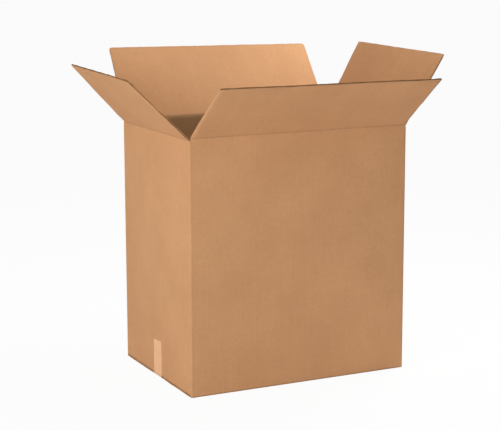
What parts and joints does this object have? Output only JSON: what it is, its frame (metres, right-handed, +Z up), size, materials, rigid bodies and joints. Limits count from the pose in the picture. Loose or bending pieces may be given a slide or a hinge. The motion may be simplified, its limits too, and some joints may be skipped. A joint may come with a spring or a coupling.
{
  "type": "cardboard box",
  "caption": "Open corrugated shipping box folded and glued from one blank, with hinged top flaps standing open and a taped bottom seam.",
  "frame": {"origin": "on the floor, under the middle of the box", "axes": "+Z up, +X along the two long walls from the left end wall to the right one, +Y from the front wall, the wide face in the picture, to the back wall"},
  "size_m": [0.8353, 0.67, 0.7884],
  "materials": {
    "kraft_board": "matte",
    "kraft_flap": "matte",
    "tape": "satin"
  },
  "bodies": {
    "box": {"box_body": "kraft_board", "bottom_tape": "tape"},
    "front_flap": {"front_flap": "kraft_flap"},
    "back_flap": {"back_flap": "kraft_flap"},
    "left_flap": {"left_flap": "kraft_flap"},
    "right_flap": {"right_flap": "kraft_flap"}
  },
  "joints": [
    {"name": "front_flap_crease", "type": "hinge", "parent": "box", "child": "front_flap", "pos_m": [0, -0.203, 0.615], "axis": [1, 0, 0], "range_deg": [-141, 119]},
    {"name": "back_flap_crease", "type": "hinge", "parent": "box", "child": "back_flap", "pos_m": [0, 0.203, 0.615], "axis": [-1, 0, 0], "range_deg": [-122, 138]},
    {"name": "left_flap_crease", "type": "hinge", "parent": "box", "child": "left_flap", "pos_m": [-0.29, 0, 0.6107], "axis": [0, -1, 0], "range_deg": [-136, 124]},
    {"name": "right_flap_crease", "type": "hinge", "parent": "box", "child": "right_flap", "pos_m": [0.29, 0, 0.6107], "axis": [0, 1, 0], "range_deg": [-123, 137]}
  ]
}
